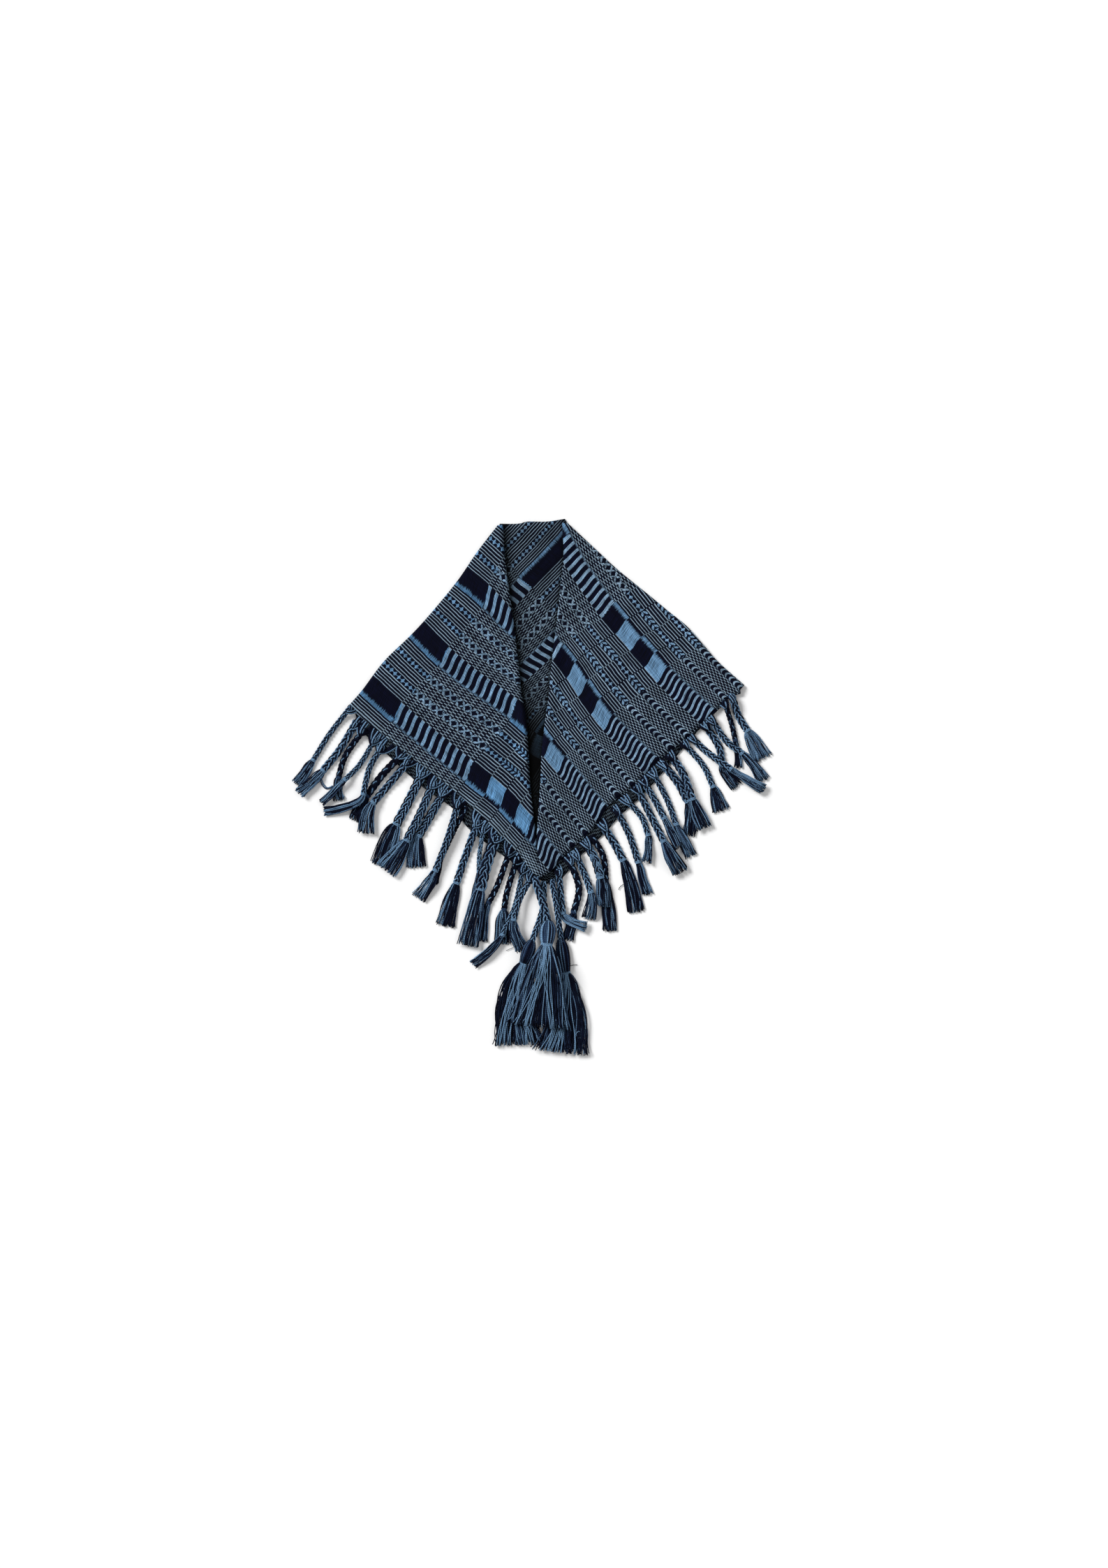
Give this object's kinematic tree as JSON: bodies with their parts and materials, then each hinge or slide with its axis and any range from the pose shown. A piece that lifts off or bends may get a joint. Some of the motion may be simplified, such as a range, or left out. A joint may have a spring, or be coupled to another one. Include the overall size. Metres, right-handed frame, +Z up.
{
  "type": "folded fringed scarf",
  "caption": "Square hand-woven shawl scarf, folded to a triangle with both wings brought forward and lying flat, with a braided fringe and large corner tassels.",
  "frame": {"origin": "on the floor under the middle of the folded scarf's box", "axes": "+Z up from the floor, +Y from the fringe towards the top fold, +X to the right wing"},
  "size_m": [0.6858, 0.7678, 0.029],
  "materials": {
    "woven_cloth": "hand-woven cotton in navy and steel blue, matt",
    "fringe_yarn": "braided cotton yarn, matt",
    "tassel_yarn": "cut cotton yarn, matt with a soft sheen"
  },
  "bodies": {
    "root": {"back_layers": "woven_cloth", "left_wing": "woven_cloth", "right_wing": "woven_cloth", "left_01": "fringe_yarn", "left_03": "fringe_yarn", "left_02": "fringe_yarn", "left_06": "fringe_yarn", "left_05": "fringe_yarn", "left_04": "fringe_yarn", "left_07": "fringe_yarn", "left_08": "fringe_yarn", "left_10": "fringe_yarn", "left_09": "fringe_yarn", "left_11_under": "fringe_yarn", "left_11": "fringe_yarn", "left_12": "fringe_yarn", "left_13": "fringe_yarn", "left_15": "fringe_yarn", "left_14": "fringe_yarn", "left_16": "fringe_yarn", "left_18": "fringe_yarn", "left_17": "fringe_yarn", "right_02": "fringe_yarn", "right_01": "fringe_yarn", "right_04": "fringe_yarn", "right_03": "fringe_yarn", "right_06": "fringe_yarn", "right_05": "fringe_yarn", "right_08": "fringe_yarn", "right_07": "fringe_yarn", "right_09": "fringe_yarn", "right_10": "fringe_yarn", "right_11": "fringe_yarn", "right_13": "fringe_yarn", "right_12": "fringe_yarn", "right_14": "fringe_yarn", "right_15_under": "fringe_yarn", "right_15": "fringe_yarn", "right_17": "fringe_yarn", "right_16": "fringe_yarn", "right_18": "fringe_yarn", "corner_tassel_right": "tassel_yarn", "corner_tassel_left": "tassel_yarn", "corner_tassel_middle": "tassel_yarn"}
  },
  "joints": []
}
